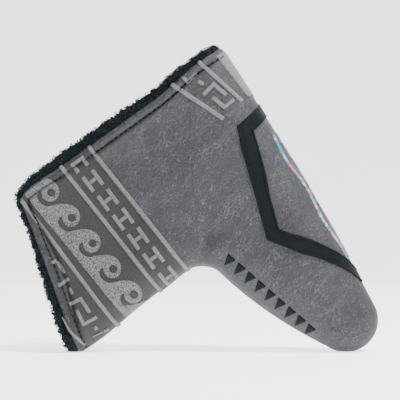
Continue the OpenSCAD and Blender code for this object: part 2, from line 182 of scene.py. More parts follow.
def body_half_at(s, d):
    far = np.hypot(s - 4, d - NECK_LEN)
    return CLOSED_HALF + (BODY_HALF - CLOSED_HALF) * ease((far - 25) / 70) \
        - (BODY_HALF - TOE_HALF) * ease((s - 90) / 70)


def half(s, d, t=0.0):
    """Half of the thickness for the layer t under the surface."""
    wide = np.where(s < KNEE_S, 100, lower_d(s, t) - sole_d(s, t))
    r1 = np.minimum(SOLE_ROUND - t, 0.55 * wide)
    r2 = np.minimum(SEAM_ROUND - t, 0.55 * wide)
    toe = rise(np.maximum(0, s - TOE_S), TOE_R - t) / (TOE_R - t)
    seam = np.where(s > TOE_S, lower_d(s, t) - d, seam_depth(s, d) - t)
    return (body_half_at(s, d) - t) * toe \
        * round_off(d - sole_d(s, t), r1, 2.4) * round_off(seam, r2, 2)


HEM_IN = 3.8  # distance of the topstitch from the leather's edge
CREASES = [
    (72.2, 52.4, 85.6, 60.3, 2.2, 3.2), (72.6, 43.6, 77.3, 35.7, 1.6, 3.2),
    (70, 52, 84, 56, 2.2, 10), (136, 16, 156, 20, 1.6, 9),
    (64, 66, 70, 60, 0.9, 4), (152, 22, 163, 14, 1.2, 3), (140, 12, 152, 16, 0.6, 4)]


def relief(s, d):
    """Soft unevenness of the stuffed leather: hem roll, creases and gentle waves."""
    m = mouth_depth(s, d)
    hem = 0.8 * bell(m - 1.8, 1.3) - 1.7 * bell(m - HEM_IN, 0.8) + 0.5 * bell(m - 6.2, 1.9)
    soft = 0.45 * np.sin(s * 0.071 + 1.3) * np.sin(d * 0.083 + 0.4) \
        + 0.25 * np.sin(s * 0.16 - d * 0.11) + 0.16 * np.sin(s * 0.29 + d * 0.23 + 2)
    crease = 0.0
    for s0, d0, s1, d1, deep, wide in CREASES:
        ax, ay = s1 - s0, d1 - d0
        q = np.clip(((s - s0) * ax + (d - d0) * ay) / (ax * ax + ay * ay), 0, 1)
        gap = np.hypot(s - s0 - q * ax, d - d0 - q * ay)
        crease = crease - deep * bell(gap, wide) * (0.4 + 0.6 * np.sin(np.pi * q))
    return hem + (soft + crease) * ease((m - 4) / 14)

# ---- standing pose: turned until the toe and the neck's end touch the ground ----

PRESS = 0.6
END_S = (NECK_W + NECK_SLANT * (NECK_LEN + END_SLANT * (NECK_W + 6) - NECK_REF)) - 1.5
END_D = END_SLANT * END_S + NECK_LEN + COLLAR - 0.6
RUN, FALL = TOE_S - END_S, TOE_R - END_D
TURN = math.asin(-TOE_R / math.hypot(RUN, FALL)) - math.atan2(FALL, RUN)
COS, SIN = math.cos(TURN), math.sin(TURN)
LIFT = TOE_S * SIN + TOE_R * COS + TOE_R - PRESS


def corner_pt(a, c=0.0, moved=(2.1, 2.2)):
    """Closing corner of the leaves: a goes from 0 on the heel edge to 90 on the neck's end."""
    r = LEAF_R + c
    s0 = HEEL_S + HEEL_SLANT * NECK_LEN - c
    d0 = END_SLANT * s0 + NECK_LEN + c
    u = np.radians(a)
    return np.stack([s0 + r * 1.06 - r * np.cos(u) + moved[0],
                     d0 - r * 0.9 + r * np.sin(u) + r * 0.07 * (1 - np.sin(u)) + moved[1]], -1)


LEFT = min((corner_pt(a, COLLAR, (0, 0)) @ np.array([COS, -SIN])) for a in range(0, 91, 9))
SHIFT = -(LEFT + TOE_S * COS - TOE_R * SIN + TOE_R) / 2


def stand(s, d, y):
    """Row-frame position in metres."""
    z = np.maximum(0, LIFT - s * SIN - d * COS)
    return np.stack(np.broadcast_arrays(SHIFT + s * COS - d * SIN, y, z), -1) * MM


def skin(s, d, side, t=0.0):
    """Point of the layer t under the outer surface."""
    s, d = np.asarray(s, float), np.asarray(d, float)
    fade = ease((seam_depth(s, d) - 1) / 9) * ease((d - sole_d(s) - 1) / 9)
    return stand(s, d, side * np.maximum(0, half(s, d, t) + relief(s, d) * fade))


FOLD_A = np.array([HEEL_S + HEEL_SLANT * HEEL_FIXED, HEEL_FIXED])
FOLD_S = NECK_W + NECK_SLANT * (NECK_LEN + END_SLANT * NECK_W - NECK_REF) - SEAM_FIXED
FOLD_B = np.array([FOLD_S, NECK_LEN + END_SLANT * FOLD_S])
fold_dir = (FOLD_B - FOLD_A) / np.linalg.norm(FOLD_B - FOLD_A)
fold_out = np.array([-fold_dir[1], fold_dir[0]])
FOLD_SPAN = 26.0  # distance of the far point from the fold's middle


def fold_bend(obj, side):
    """Bakes obj's placement into its mesh."""
    leaf = "front_leaf" if side == FRONT else "back_leaf"
    mid = (FOLD_A + FOLD_B) / 2
    far = mid + fold_out * FOLD_SPAN
    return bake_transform(obj, "pocket", leaf, tuple(stand(*mid, 0)), tuple(stand(*far, 0)))


SIDE_NAME = {FRONT: "front", BACK: "back"}

# ---- mesh helpers ----


def new_mesh(name, verts, faces, material, smooth=True, attributes=None):
    """Mesh object whose rest positions are kept for its textures."""
    data = bpy.data.meshes.new(name)
    verts = np.asarray(verts, float)
    data.from_pydata(verts.tolist(), [], [tuple(int(k) for k in f) for f in faces])
    data.validate()
    data.polygons.foreach_set("use_smooth", [smooth] * len(data.polygons))
    for key, values in {"rest": verts, **(attributes or {})}.items():
        at = data.attributes.new(key, "FLOAT_VECTOR", "POINT")
        at.data.foreach_set("vector", np.asarray(values, np.float32).ravel())
    data.materials.append(material)
    obj = bpy.data.objects.new(name, data)
    bpy.context.scene.collection.objects.link(obj)
    return obj


def grid_faces(n, m, flip=False, offset=0):
    """Quads of an n x m grid of points, row by row."""
    i, j = np.meshgrid(np.arange(n - 1), np.arange(m - 1), indexing="ij")
    a = (i * m + j).ravel() + offset
    quads = np.stack([a, a + 1, a + m + 1, a + m], -1)
    return quads[:, ::-1] if flip else quads


class Parts:
    """Gathers grids into one mesh, with texture coordinates in millimetres."""

    def __init__(self):
        self.verts, self.faces, self.uv, self.count = [], [], [], 0

    def add(self, verts, faces, uv=None):
        verts = np.asarray(verts).reshape(-1, 3)
        self.verts.append(verts)
        self.faces += [tuple(int(k) + self.count for k in f) for f in faces]
        self.uv.append(np.zeros_like(verts) if uv is None else np.asarray(uv).reshape(-1, 3))
        self.count += len(verts)

    def build(self, name, material):
        return new_mesh(name, np.concatenate(self.verts), self.faces, material,
                        attributes={"thread": np.concatenate(self.uv)})


def resample(path, step):
    """Points every step or so along a polyline."""
    path = np.asarray(path, float)
    seg = np.linalg.norm(np.diff(path, axis=0), axis=1)
    at = np.concatenate([[0], np.cumsum(seg)])
    n = max(2, int(round(at[-1] / step)) + 1)
    q = np.linspace(0, at[-1], n)
    return np.stack([np.interp(q, at, path[:, k]) for k in range(path.shape[1])], -1)


def fine(path, step):
    """Polyline with extra points, corners kept."""
    path = [np.asarray(p, float) for p in path]
    out = []
    for a, b in zip(path, path[1:]):
        n = max(1, math.ceil(np.linalg.norm(b - a) / step))
        out += [a + (b - a) * q / n for q in range(n)]
    return np.array(out + [path[-1]])


def offsets(path):
    """Mitred left normals of a path."""
    seg = np.diff(path, axis=0)
    seg /= np.linalg.norm(seg, axis=1)[:, None]
    left = np.stack([-seg[:, 1], seg[:, 0]], -1)
    a = np.concatenate([left[:1], left])
    b = np.concatenate([left, left[-1:]])
    return (a + b) / (1 + np.sum(a * b, 1))[:, None]


# ---- the leather's grid ----

NU, NT, NV = 84, 46, 110


def spread(v, mix=0.8):
    return mix * (1 - np.cos(np.pi * v)) / 2 + (1 - mix) * v


def seam_curve(u, t=0.0, c=0.0):
    """Seam edge from the neck's end (u = 0) to the knee rib (u = 1)."""
    e_d = end_d(neck_s(end_d(NECK_W, c), t), c)
    ang = np.linspace(0, 90, 16)
    cx = ((CORNER_R + t) * np.cos(np.radians(ang)) - CORNER_R) / NECK_COS
    cy = ((CORNER_R + t) * np.sin(np.radians(ang)) - CORNER_R) / LOWER_COS
    d = (LOWER_FOOT + LOWER_SLOPE * (FAR - NECK_W + NECK_SLANT * NECK_REF + cx) - cy) \
        / (1 + LOWER_SLOPE * NECK_SLANT)
    s = NECK_W + NECK_SLANT * (d - NECK_REF) - cx
    neck_d = np.linspace(e_d, d[0], 40)[:-1]
    path = np.concatenate([
        np.stack([neck_s(neck_d, t), neck_d], -1), np.stack([s, d], -1),
        np.array([[KNEE_S, float(lower_d(np.array(KNEE_S), t))]])])
    seg = np.linalg.norm(np.diff(path, axis=0), axis=1)
    at = np.concatenate([[0], np.cumsum(seg)]) / seg.sum()
    return np.stack([np.interp(u, at, path[:, k]) for k in (0, 1)], -1)


def sole_curve(u, t=0.0, c=0.0):
    s0 = heel_s(0.0, c)
    s = s0 + (KNEE_S - s0) * u
    return np.stack([s, sole_d(s, t)], -1)


def mouth_curve(v, t=0.0, c=0.0):
    """Mouth edge from the seam (v = 0) round the closing corner to the sole (v = 1)."""
    e = seam_curve(np.array([0.0]), t, c)[0]
    a = sole_curve(np.array([0.0]), t, c)[0]
    arc = corner_pt(np.linspace(90, 0, 14), c)
    d = np.linspace(arc[-1][1], a[1], 30)[1:]
    heel = np.stack([heel_s(d, c), d], -1)
    path = np.concatenate([fine([e, arc[0]], 4)[:-1], arc, heel, [a]])
    seg = np.linalg.norm(np.diff(path, axis=0), axis=1)
    at = np.concatenate([[0], np.cumsum(seg)]) / max(seg.sum(), 1e-9)
    return np.stack([np.interp(v, at, path[:, k]) for k in (0, 1)], -1)


def face_grid(t, c, nu, nt, nv):
    """Grid of (s, d) points over a whole face, mouth to toe."""
    v = spread(np.linspace(0, 1, nv))
    u = np.linspace(0, 1, nu) ** 1.5
    rows = []
    m = mouth_curve(v, t, c)
    e, a = m[0], m[-1]
    bulge = m - e - (a - e) * v[:, None]
    for q in u:
        i, o = seam_curve(np.array([q]), t, c)[0], sole_curve(np.array([q]), t, c)[0]
        rows.append(i + (o - i) * v[:, None] + bulge * (1 - q) ** 2)
    tip = TOE_S + TOE_R - t
    for q in np.linspace(0, 1, nt)[1:]:
        s = KNEE_S + (tip - KNEE_S) * math.sin(q * math.pi / 2)
        lo, hi = float(sole_d(np.array(s), t)), float(lower_d(np.array(s), t))
        rows.append(np.stack([np.full(nv, s), hi + (lo - hi) * v], -1))
    return np.array(rows)


def face_points(sd, side, t):
    p = skin(sd[..., 0], sd[..., 1], side, t)
    p[..., 0, 1] = 0
    p[..., -1, 1] = 0
    return p


def leather_panel(side, material):
    """One face of the boot with its leaf and its turned hem."""
    v = spread(np.linspace(0, 1, NV))
    rows, r = [], EDGE_R
    for c in (-9.0, -6.0, -3.0, -1.0):
        rows.append(face_points(mouth_curve(v, 2 * r, c)[None], side, 2 * r)[0])
    for k in range(7):
        a = math.pi * (1 - k / 7)
        t, c = r * (1 - math.cos(a)), r * math.sin(a)
        rows.append(face_points(mouth_curve(v, t, c)[None], side, t)[0])
    outer = face_points(face_grid(0.0, 0.0, NU, NT, NV), side, 0.0)
    pts = np.concatenate([np.array(rows), outer])
    obj = new_mesh(f"leather_{SIDE_NAME[side]}", pts.reshape(-1, 3),
                   grid_faces(len(pts), NV, flip=side == FRONT), material)
    return obj


# ---- materials ----


def material(name):
    mat = bpy.data.materials.new(name)
    mat.use_nodes = True
    return mat, mat.node_tree, mat.node_tree.nodes["Principled BSDF"]


def node(tree, kind, inputs=None, **settings):
    n = tree.nodes.new(kind)
    for key, value in settings.items():
        setattr(n, key, value)
    for key, value in (inputs or {}).items():
        if isinstance(value, bpy.types.NodeSocket):
            tree.links.new(value, n.inputs[key])
        else:
            n.inputs[key].default_value = value
    return n


def ramp(tree, fac, stops):
    n = node(tree, "ShaderNodeValToRGB", {"Fac": fac})
    e = n.color_ramp.elements
    while len(e) < len(stops):
        e.new(0.5)
    for k, (pos, colour) in enumerate(stops):
        e[k].position = pos
        e[k].color = (*colour, 1) if isinstance(colour, tuple) else (colour,) * 3 + (1,)
    return n.outputs["Color"]


def calc(tree, op, a, b=0.0, c=0.0):
    n = tree.nodes.new("ShaderNodeMath")
    n.operation = op
    for k, value in enumerate((a, b, c)):
        if isinstance(value, bpy.types.NodeSocket):
            tree.links.new(value, n.inputs[k])
        else:
            n.inputs[k].default_value = value
    return n.outputs[0]


def blend_colour(tree, fac, a, b, kind="MIX"):
    n = tree.nodes.new("ShaderNodeMix")
    n.data_type = "RGBA"
    n.blend_type = kind
    for key, value in ((0, fac), (6, a), (7, b)):
        if isinstance(value, bpy.types.NodeSocket):
            tree.links.new(value, n.inputs[key])
        else:
            n.inputs[key].default_value = (*value, 1) if isinstance(value, tuple) else value
    return n.outputs[2]


def rest_coords(tree, name="rest", scale=(1, 1, 1), turn=(0, 0, 0)):
    at = node(tree, "ShaderNodeAttribute", attribute_name=name)
    m = node(tree, "ShaderNodeMapping", {"Vector": at.outputs["Vector"], "Scale": scale,
                                         "Rotation": turn}, vector_type="TEXTURE")
    return m.outputs["Vector"]


def noise(tree, vec, scale, detail=3.0, rough=0.5, distort=0.0):
    n = node(tree, "ShaderNodeTexNoise", {"Vector": vec, "Scale": scale, "Detail": detail,
                                          "Roughness": rough, "Distortion": distort})
    return n.outputs["Fac"]


def hair_lines(tree, vec, scale, thin, bend):
    """Thin pale curves where a noise crosses its middle value."""
    n = noise(tree, vec, scale, 1.5, 0.5, bend)
    gap = calc(tree, "ABSOLUTE", calc(tree, "SUBTRACT", n, 0.5))
    return calc(tree, "SUBTRACT", 1.0, calc(tree, "MINIMUM", calc(tree, "DIVIDE", gap, thin), 1.0))


def crackle(tree, vec, scale, thin, soft):
    """Pale network of fine cracks."""
    cells = node(tree, "ShaderNodeTexVoronoi", {"Vector": vec, "Scale": scale},
                 feature="DISTANCE_TO_EDGE").outputs["Distance"]
    return ramp(tree, cells, [(thin, 1.0), (soft, 0.0)])


def leather_material():
    mat, tree, bsdf = material("leatherette")
    plain = rest_coords(tree)
    drawn = rest_coords(tree, scale=(1.0, 1.0, 2.8), turn=(0, math.radians(33), 0))
    cloud = noise(tree, plain, 26, 3, 0.55)
    grit = noise(tree, plain, 1300, 4, 0.7)
    mottle = noise(tree, drawn, 420, 3, 0.6, 0.5)
    base = ramp(tree, cloud, [(0.32, (0.033, 0.0332, 0.0375)), (0.68, (0.046, 0.0465, 0.0525))])
    base = blend_colour(tree, 1.0, base, ramp(tree, mottle, [(0.3, 0.94), (0.7, 1.06)]), "MULTIPLY")
    base = blend_colour(tree, 1.0, base, ramp(tree, grit, [(0.3, 0.58), (0.7, 1.42)]), "MULTIPLY")
    across = rest_coords(tree, scale=(1.0, 1.0, 2.2), turn=(0, math.radians(80), 0))
    wisps = [(drawn, 420, 0.014, 110, 1.0), (across, 400, 0.011, 120, 0.7),
             (drawn, 760, 0.022, 150, 0.8)]
    lines = 0.0
    for vec, scale, thin, spread_of, strength in wisps:
        patchy = ramp(tree, noise(tree, vec, spread_of, 2), [(0.38, 0.0), (0.62, strength)])
        wisp = calc(tree, "MULTIPLY", hair_lines(tree, vec, scale, thin, 0.12), patchy)
        lines = calc(tree, "MAXIMUM", wisp, lines)
    base = blend_colour(tree, calc(tree, "MULTIPLY", lines, 0.5), base, (0.24, 0.24, 0.26))
    tree.links.new(base, bsdf.inputs["Base Color"])
    pores = crackle(tree, plain, 1150.0, 0.0, 0.22)
    height = calc(tree, "SUBTRACT", calc(tree, "MULTIPLY", mottle, 0.8),
                  calc(tree, "MULTIPLY", pores, 0.5))
    height = calc(tree, "SUBTRACT", height, calc(tree, "MULTIPLY", lines, 0.35))
    bump = node(tree, "ShaderNodeBump", {"Height": height, "Strength": 0.5, "Distance": 0.00025})
    tree.links.new(bump.outputs["Normal"], bsdf.inputs["Normal"])
    tree.links.new(ramp(tree, mottle, [(0.3, 0.68), (0.7, 0.54)]), bsdf.inputs["Roughness"])
    bsdf.inputs["Specular IOR Level"].default_value = 0.2
    return mat


def thread_material(name, dark, light, rough=0.6, lay=1.0, speckle=0.35, shine=0.22,
                    grain=1500.0):
    """Satin stitch: threads lie across the ribbon; speckle breaks up the tone; each band's edges
    are darkened as painted shade.
    """
    mat, tree, bsdf = material(name)
    at = rest_coords(tree, "thread")
    sep = node(tree, "ShaderNodeSeparateXYZ", {"Vector": at})
    jitter = noise(tree, rest_coords(tree, "thread", scale=(1, 4, 1)), 3.0, 2)
    along = calc(tree, "ADD", sep.outputs["X"], calc(tree, "MULTIPLY", jitter, 0.5))
    wave = calc(tree, "SINE", calc(tree, "MULTIPLY", along, 2 * math.pi / 0.85 * lay))
    strand = calc(tree, "MULTIPLY_ADD", wave, 0.5, 0.5)
    grit = noise(tree, rest_coords(tree, "rest"), grain, 3, 0.7)
    spots = calc(tree, "MULTIPLY_ADD", grit, 0.8 + 1.6 * speckle, -0.4 - 0.8 * speckle)
    mix = calc(tree, "ADD", calc(tree, "MULTIPLY_ADD", strand, 0.4, 0.3), spots)
    base = ramp(tree, mix, [(0.1, dark), (0.9, light)])
    # Painted shade: the colour darkens towards each band's edges, standing in for the shadow along
    # the raised stitching.
    painted_edge_shade = ramp(tree, sep.outputs["Z"], [(0.45, 1.0), (0.95, 0.3)])
    tree.links.new(blend_colour(tree, 1.0, base, painted_edge_shade, "MULTIPLY"), bsdf.inputs["Base Color"])
    bump = node(tree, "ShaderNodeBump", {
        "Height": calc(tree, "ADD", calc(tree, "MULTIPLY", strand, 0.8),
                       calc(tree, "MULTIPLY", grit, speckle)),
        "Strength": 0.75, "Distance": 0.00025})
    tree.links.new(bump.outputs["Normal"], bsdf.inputs["Normal"])
    bsdf.inputs["Roughness"].default_value = rough
    bsdf.inputs["Specular IOR Level"].default_value = shine
    return mat


def mixed_thread(name, stops):
    """Satin stitch in several colours, in short blocks."""
    mat = thread_material(name, (0.6, 0.6, 0.6), (1.0, 1.0, 1.0))
    tree = mat.node_tree
    bsdf = tree.nodes["Principled BSDF"]
    shade = bsdf.inputs["Base Color"].links[0].from_socket
    cells = node(tree, "ShaderNodeTexVoronoi", {"Vector": rest_coords(tree), "Scale": 520.0})
    pick = node(tree, "ShaderNodeSeparateColor", {"Color": cells.outputs["Color"]})
    hue = ramp(tree, pick.outputs["Red"], stops)
    hue.node.color_ramp.interpolation = "CONSTANT"
    tree.links.new(blend_colour(tree, 1.0, hue, shade, "MULTIPLY"), bsdf.inputs["Base Color"])
    return mat


def fleece_material(name="fleece"):
    mat, tree, bsdf = material(name)
    plain = rest_coords(tree)
    clump = noise(tree, plain, 420, 4, 0.65, 0.8)
    tone = ramp(tree, clump, [(0.35, (0.0012, 0.0045, 0.005)), (0.6, (0.006, 0.014, 0.017)),
                              (0.78, (0.024, 0.036, 0.042))])
    tree.links.new(tone, bsdf.inputs["Base Color"])
    bump = node(tree, "ShaderNodeBump", {"Height": noise(tree, plain, 1600, 3, 0.7),
                                         "Strength": 0.8, "Distance": 0.0004})
    tree.links.new(bump.outputs["Normal"], bsdf.inputs["Normal"])
    bsdf.inputs["Roughness"].default_value = 0.85
    bsdf.inputs["Specular IOR Level"].default_value = 0.12
    bsdf.inputs["Sheen Weight"].default_value = 0.12
    bsdf.inputs["Sheen Roughness"].default_value = 0.4
    bsdf.inputs["Sheen Tint"].default_value = (0.5, 0.65, 0.75, 1)
    return mat


M_LEATHER = leather_material()
M_GREY = thread_material("grey_thread", (0.05, 0.0495, 0.048), (0.25, 0.247, 0.24))
M_DIM = thread_material("dim_thread", (0.010, 0.0102, 0.011), (0.055, 0.056, 0.059), speckle=0.2)
M_BLACK = thread_material("black_thread", (0.0006, 0.0015, 0.002), (0.006, 0.0105, 0.0125),
                          speckle=0.5, shine=0.1)
M_FILL = thread_material("fill_thread", (0.015, 0.015, 0.0145), (0.26, 0.257, 0.25),
                         lay=2.0, speckle=2.6, grain=2000.0)
M_CYAN = mixed_thread("cyan_thread", [(0.0, (0.02, 0.30, 0.42)), (0.45, (0.10, 0.55, 0.66)),
                                      (0.62, (0.60, 0.13, 0.22)), (0.8, (0.62, 0.60, 0.36))])
M_PINK = mixed_thread("pink_thread", [(0.0, (0.50, 0.08, 0.17)), (0.5, (0.66, 0.22, 0.30)),
                                      (0.65, (0.07, 0.45, 0.58)), (0.82, (0.02, 0.12, 0.34))])
M_TAPE = thread_material("closure_tape", (0.004, 0.005, 0.006), (0.03, 0.032, 0.036),
                         speckle=0.9, shine=0.1)
M_FLEECE = fleece_material()

floor_mat, _, floor_bsdf = material("floor")
floor_bsdf.inputs["Base Color"].default_value = (0.93, 0.93, 0.93, 1)
floor_bsdf.inputs["Roughness"].default_value = 0.9
floor_bsdf.inputs["Emission Color"].default_value = (1, 1, 1, 1)
floor_bsdf.inputs["Emission Strength"].default_value = 1.9


def backdrop():
    """Pale floor that sweeps up far behind the cover."""
    prof = [(-3.0, 0.0), (2.0, 0.0)] + [
        (2.0 + 1.2 * math.sin(a), 1.2 - 1.2 * math.cos(a)) for a in np.linspace(0.1, 1.57, 16)]
    prof.append((3.2, 4.0))
    pts = [(x, y, z) for y, z in prof for x in (-4, 4)]
    obj = new_mesh("floor", pts, grid_faces(len(prof), 2, flip=True), floor_mat)


backdrop()

# ---- stitched shapes on the leather ----

STITCH_UP = 0.6  # height of satin stitch over the leather
SUNK = -0.2
EDGE_R = 0.8  # radius of the leather's turned edge


def wrap(s, w, t=0.0):
    """Point at arc distance w from the middle of the sole, positive towards the back."""
    a, r = np.abs(w), SOLE_ROUND - t
    turned = 1 - np.cos(np.pi / 2 * np.minimum(1, a / SOLE_ARC)) ** (2 / 2.4)
    d = sole_d(s, t) + r * turned + np.maximum(0, a - SOLE_ARC)
    fade = ease((seam_depth(s, d) - 1) / 9) * ease((d - sole_d(s) - 1) / 9)
    y = np.where(a < 0.01, 0, half(s, d, t) + relief(s, d) * fade)
    return stand(s, d, np.sign(w) * y)


def face_at(side):
    return lambda s, d, t: skin(s, d, side, t)


def ribbon(parts, path, w, place, h=STITCH_UP, step=1.3, lanes=6, over=0, base=0.0):
    """Raised band of stitches along a path; over=1 wraps its start over the mouth's edge."""
    path = fine(path, step)
    first, last = path[1] - path[0], path[-1] - path[-2]
    head, tail = first / np.linalg.norm(first), last / np.linalg.norm(last)
    near = np.array([0.15, 0.5])
    from_head = near * min(0.8, np.linalg.norm(first))
    from_tail = near[::-1] * min(0.8, np.linalg.norm(last))
    path = np.concatenate([
        path[:1], path[0] + np.outer(from_head, head), path[1:-1],
        path[-1] - np.outer(from_tail, tail), path[-1:]])
    n = offsets(path)
    at = np.concatenate([[0], np.cumsum(np.linalg.norm(np.diff(path, axis=0), axis=1))])
    w = np.interp(at / at[-1], np.linspace(0, 1, np.size(w)), np.atleast_1d(w))
    e = np.linspace(-1, 1, lanes + 1)
    dome = np.sqrt(np.maximum(0, 1 - np.abs(e) ** 3))
    ends = np.clip(np.minimum(at if not over else 9, at[-1] - at) / 0.5, 0, 1) ** 0.5
    up = np.outer(ends, dome) * h
    up[:, [0, -1]] = SUNK
    if not over:
        up[0] = SUNK
    up[-1] = SUNK
    s = path[:, 0, None] + n[:, 0, None] * e * w[:, None] / 2
    d = path[:, 1, None] + n[:, 1, None] * e * w[:, None] / 2
    pts = place(s, d, -(up + base))
    # edge rises to 1 at the band's sides, where the thread material darkens the colour as painted
    # shade.
    edge = np.clip(1 - (1 - np.abs(e)) * w[:, None] / 1.2, 0, 1)
    uv = np.stack([np.broadcast_to(at[:, None], s.shape), e * w[:, None] / 2, edge], -1)
    if over:
        rolled = []
        for a in (150, 120, 90, 60, 30):
            r = EDGE_R + up[0] + base
            out = r * math.sin(math.radians(a))
            rolled.append(place(s[0] - head[0] * out, d[0] - head[1] * out,
                                EDGE_R - r * math.cos(math.radians(a))))
        pts = np.concatenate([rolled, pts])
        lead = np.repeat(uv[:1], 5, 0)
        lead[..., 0] -= np.array([2.1, 1.7, 1.3, 0.8, 0.4])[:, None]
        uv = np.concatenate([lead, uv])
    parts.add(pts, grid_faces(len(pts), lanes + 1, flip=not parts.front), uv)


def signed_distance(px, py, loops):
    """Distance inside a set of closed loops (even-odd), positive inside."""
    best = np.full(px.shape, 1e9)
    inside = np.zeros(px.shape, bool)
    for loop in loops:
        loop = np.asarray(loop, float)
        for (x0, y0), (x1, y1) in zip(loop, np.roll(loop, -1, 0)):
            dx, dy = x1 - x0, y1 - y0
            q = np.clip(((px - x0) * dx + (py - y0) * dy) / (dx * dx + dy * dy + 1e-12), 0, 1)
            best = np.minimum(best, np.hypot(px - x0 - q * dx, py - y0 - q * dy))
            cross = ((y0 > py) != (y1 > py)) & (px < dx * (py - y0) / (dy + (dy == 0) * 1e-12) + x0)
            inside ^= cross
    return np.where(inside, best, -best)


def fill(parts, loops, place, h=STITCH_UP, cell=0.55, limit=None, base=0.0):
    """Stitched fill of any outline, domed at its edges; loops are in (s, d)."""
    pts = np.concatenate([np.asarray(q, float) for q in loops])
    lo, hi = pts.min(0) - cell, pts.max(0) + cell
    xs, ys = np.arange(lo[0], hi[0], cell), np.arange(lo[1], hi[1], cell)
    gx, gy = np.meshgrid(xs, ys, indexing="ij")
    f = signed_distance(gx, gy, loops)
    if limit is not None:
        f = np.minimum(f, limit(gx, gy))
    verts, ids, faces = [], {}, []

    def corner(i, j):
        key = (i, j)
        if key not in ids:
            ids[key] = len(verts)
            verts.append((gx[i, j], gy[i, j], f[i, j]))
        return ids[key]

    def crossing(a, b):
        key = (a, b) if a < b else (b, a)
        if key not in ids:
            fa, fb = f[a], f[b]
            q = fa / (fa - fb)
            ids[key] = len(verts)
            verts.append((gx[a] + (gx[b] - gx[a]) * q, gy[a] + (gy[b] - gy[a]) * q, 0.0))
        return ids[key]

    busy = (f[:-1, :-1] > 0) | (f[1:, :-1] > 0) | (f[:-1, 1:] > 0) | (f[1:, 1:] > 0)
    for i, j in zip(*np.nonzero(busy)):
        ring = [(i, j), (i + 1, j), (i + 1, j + 1), (i, j + 1)]
        face = []
        for a, b in zip(ring, ring[1:] + ring[:1]):
            if f[a] > 0:
                face.append(corner(*a))
            if (f[a] > 0) != (f[b] > 0):
                face.append(crossing(a, b))
        if len(face) > 2:
            faces.append(tuple(face) if parts.front else tuple(face[::-1]))
    if not faces:
        return
    v = np.array(verts)
    up = h * np.sqrt(np.clip(v[:, 2] / 0.7, 0, 1))
    up = np.where(v[:, 2] <= 0, SUNK, up)
    # The third texture value rises towards the outline, where the thread material darkens the
    # colour as painted shade.
    parts.add(place(v[:, 0], v[:, 1], -(up + base)), faces,
              np.stack([v[:, 0], v[:, 1], np.clip(1 - v[:, 2] / 0.55, 0, 1)], -1))


def stitches(parts, path, place, length=2.3, gap=0.7, w=0.75, h=0.3, base=0.0):
    """Separate stitches of thread along a path."""
    path = resample(path, 0.25)
    per = int((length + gap) / 0.25)
    run = int(length / 0.25)
    for k in range(0, len(path) - run, per):
        bit = path[k:k + run + 1][::3]
        if len(bit) > 2:
            ribbon(parts, bit, [0.35 * w, w, w, 0.35 * w], place, h=h, step=0.7, lanes=4,
                   base=base)


class Stitching(Parts):
    def __init__(self, front=True):
        super().__init__()
        self.front = front


# Bands across the neck: each is d = start + slope * s
LINE_1, LINE_2, LINE_3 = (86.4, -0.1384), (104.5, -0.1396), (131.5, -0.12)
LINE_W = 2.4
PAST_SEAM = 0.9  # bands run on round the neck's underside and show as bumps
H_MID, H_SLOPE, H_FIRST, H_PITCH = 95.9, -0.137, 8.1, 12.6
H_BAR, H_SPAN, H_SKEW = 4.85, 3.05, -0.1  # half length and half spacing of an H's bars
H_GROUND, H_GROUND_W = (95.45, -0.139), 15.2
WAVE_EYE, WAVE_PITCH, WAVE_SLOPE = (14.9, 114.9), 17.05, -0.1534


def band(line, s):
    return np.array([s, line[0] + line[1] * s])


def hem_start(line):
    """Where a band meets the mouth's rounded corner or its edge."""
    s = np.linspace(-8, 40, 481)
    m = mouth_depth(s, line[0] + line[1] * s)
    return float(s[np.argmax(m > 0.02)])


def band_path(line, inset=0.0):
    """From the mouth's edge to just past the seam along the neck's underside."""
    s1 = 80.0
    for _ in range(4):
        s1 = float(neck_s(line[0] + line[1] * s1)) - inset + PAST_SEAM
    return [band(line, hem_start(line)), band(line, s1)]


def h_shapes(parts, place):
    """Row of H shapes; those that reach the mouth or the seam are cut off there."""
    u = np.array([1, H_SKEW]) / math.hypot(1, H_SKEW)
    n = np.array([-u[1], u[0]])
    for k in range(-1, 7):
        c = band((H_MID, H_SLOPE), H_FIRST + H_PITCH * k)
        for e in (-1, 1):
            a, b = c - u * H_BAR + n * H_SPAN * e, c + u * H_BAR + n * H_SPAN * e
            clipped_bar(parts, a, b, 2.5, place)
        clipped_bar(parts, c - n * 2.1, c + n * 2.1, 2.4, place)


def clipped_bar(parts, a, b, w, place, h=STITCH_UP + 0.25, base=0.0):
    """A bar cut off where it would pass the mouth's edge or the seam."""
    q = np.linspace(0, 1, 60)[:, None]
    p = a + (b - a) * q
    ok = (mouth_depth(p[:, 0], p[:, 1]) > w * 0.35) & (seam_depth(p[:, 0], p[:, 1]) > -0.3)
    p = p[ok]
    if len(p) > 6:
        ribbon(parts, [p[0], p[-1]], w, place, h=h, base=base)


CURL_TOP = [
    (-11.7, -3.6), (-9.8, -0.3), (-8.6, 1.4), (-7.1, 3.0), (-5.2, 4.3), (-3.2, 5.0),
    (-1.4, 5.2), (0.4, 4.9), (2.3, 4.0), (3.8, 2.4), (4.6, 0.4), (4.7, -1.4), (4.0, -3.1),
    (2.7, -4.4), (1.1, -5.1), (-0.6, -5.3), (-2.0, -4.9), (-3.0, -4.3), (-3.6, -3.8)]
CURL_UNDER = [
    (-3.9, -4.6), (-3.6, -5.7), (-2.8, -6.8), (-1.6, -7.4), (-0.2, -7.6), (1.8, -7.3),
    (3.6, -6.5), (4.8, -5.1)]
HOLLOW_BACK = [(-9.2, 0.5), (-10.6, -0.9), (-11.9, -2.2)]
WAVE_FOOT, EYE_R = -11.6, 1.9
# The next wave as far as it shows before the neck's underside
LAST_CREST = [(84.6, 111.2), (87.0, 105.2), (88.0, 98.4), (95.0, 98.4), (95.0, 112.0)]


